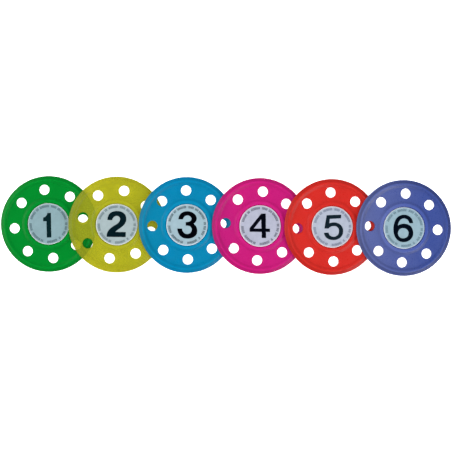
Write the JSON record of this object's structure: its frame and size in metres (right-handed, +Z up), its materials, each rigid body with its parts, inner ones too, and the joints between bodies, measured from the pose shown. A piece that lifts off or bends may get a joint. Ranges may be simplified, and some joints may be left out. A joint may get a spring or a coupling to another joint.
{
  "type": "game spinner set",
  "caption": "Row of overlapping round spinner discs in translucent colours, each with finger holes, a raised rim, and a numbered label on a central stud it spins on.",
  "frame": {"origin": "middle of the row's bounding box, on the table", "axes": "+X along the row from disc 1 to disc 6, +Y towards the tops of the numerals, +Z up out of the discs' faces"},
  "size_m": [0.2816, 0.0604, 0.0073],
  "materials": {
    "green_plastic": "glossy, translucent",
    "yellow_plastic": "glossy, translucent",
    "blue_plastic": "glossy, translucent",
    "magenta_plastic": "glossy, translucent",
    "red_plastic": "glossy, translucent",
    "purple_plastic": "glossy, translucent",
    "stud_plastic": "satin, natural white",
    "foot_plastic": "satin, natural white",
    "label_paper": "satin",
    "print_ink": "matte print",
    "index_ink": "matte print"
  },
  "bodies": {
    "stand_1": {"hub_1": "stud_plastic", "foot_1": "foot_plastic", "label_1": "label_paper", "numeral_1": "print_ink", "index_ring_1": "index_ink"},
    "wheel_1": {"disc_1_green": "green_plastic"},
    "stand_2": {"hub_2": "stud_plastic", "foot_2": "foot_plastic", "label_2": "label_paper", "numeral_2": "print_ink", "index_ring_2": "index_ink"},
    "wheel_2": {"disc_2_yellow": "yellow_plastic"},
    "stand_3": {"hub_3": "stud_plastic", "foot_3": "foot_plastic", "label_3": "label_paper", "numeral_3": "print_ink", "index_ring_3": "index_ink"},
    "wheel_3": {"disc_3_blue": "blue_plastic"},
    "stand_4": {"hub_4": "stud_plastic", "foot_4": "foot_plastic", "label_4": "label_paper", "numeral_4": "print_ink", "index_ring_4": "index_ink"},
    "wheel_4": {"disc_4_magenta": "magenta_plastic"},
    "stand_5": {"hub_5": "stud_plastic", "foot_5": "foot_plastic", "label_5": "label_paper", "numeral_5": "print_ink", "index_ring_5": "index_ink"},
    "wheel_5": {"disc_5_red": "red_plastic"},
    "stand_6": {"hub_6": "stud_plastic", "foot_6": "foot_plastic", "label_6": "label_paper", "numeral_6": "print_ink", "index_ring_6": "index_ink"},
    "wheel_6": {"disc_6_purple": "purple_plastic"}
  },
  "joints": [
    {"name": "spin_1", "type": "hinge", "parent": "stand_1", "child": "wheel_1", "pos_m": [-0.11079, -0.00017, 0.0017], "axis": [0, 0, 1], "continuous": true},
    {"name": "spin_2", "type": "hinge", "parent": "stand_2", "child": "wheel_2", "pos_m": [-0.0681, -0.00009, 0.0034], "axis": [0.0732, 0, 0.9973], "continuous": true},
    {"name": "lift_2", "type": "slide", "parent": "stand_1", "child": "stand_2", "axis": [0, 0, 1], "range_m": [0, 0.03]},
    {"name": "spin_3", "type": "hinge", "parent": "stand_3", "child": "wheel_3", "pos_m": [-0.02438, 0.00017, 0.00343], "axis": [0.0745, 0, 0.9972], "continuous": true},
    {"name": "lift_3", "type": "slide", "parent": "stand_2", "child": "stand_3", "axis": [0, 0, 1], "range_m": [0, 0.03]},
    {"name": "spin_4", "type": "hinge", "parent": "stand_4", "child": "wheel_4", "pos_m": [0.02118, 0.00004, 0.00336], "axis": [0.0718, 0, 0.9974], "continuous": true},
    {"name": "lift_4", "type": "slide", "parent": "stand_3", "child": "stand_4", "axis": [0, 0, 1], "range_m": [0, 0.03]},
    {"name": "spin_5", "type": "hinge", "parent": "stand_5", "child": "wheel_5", "pos_m": [0.0661, -0.00007, 0.00338], "axis": [0.0725, 0, 0.9974], "continuous": true},
    {"name": "lift_5", "type": "slide", "parent": "stand_4", "child": "stand_5", "axis": [0, 0, 1], "range_m": [0, 0.03]},
    {"name": "spin_6", "type": "hinge", "parent": "stand_6", "child": "wheel_6", "pos_m": [0.11087, -0.00017, 0.00339], "axis": [0.0729, 0, 0.9973], "continuous": true},
    {"name": "lift_6", "type": "slide", "parent": "stand_5", "child": "stand_6", "axis": [0, 0, 1], "range_m": [0, 0.03]}
  ]
}
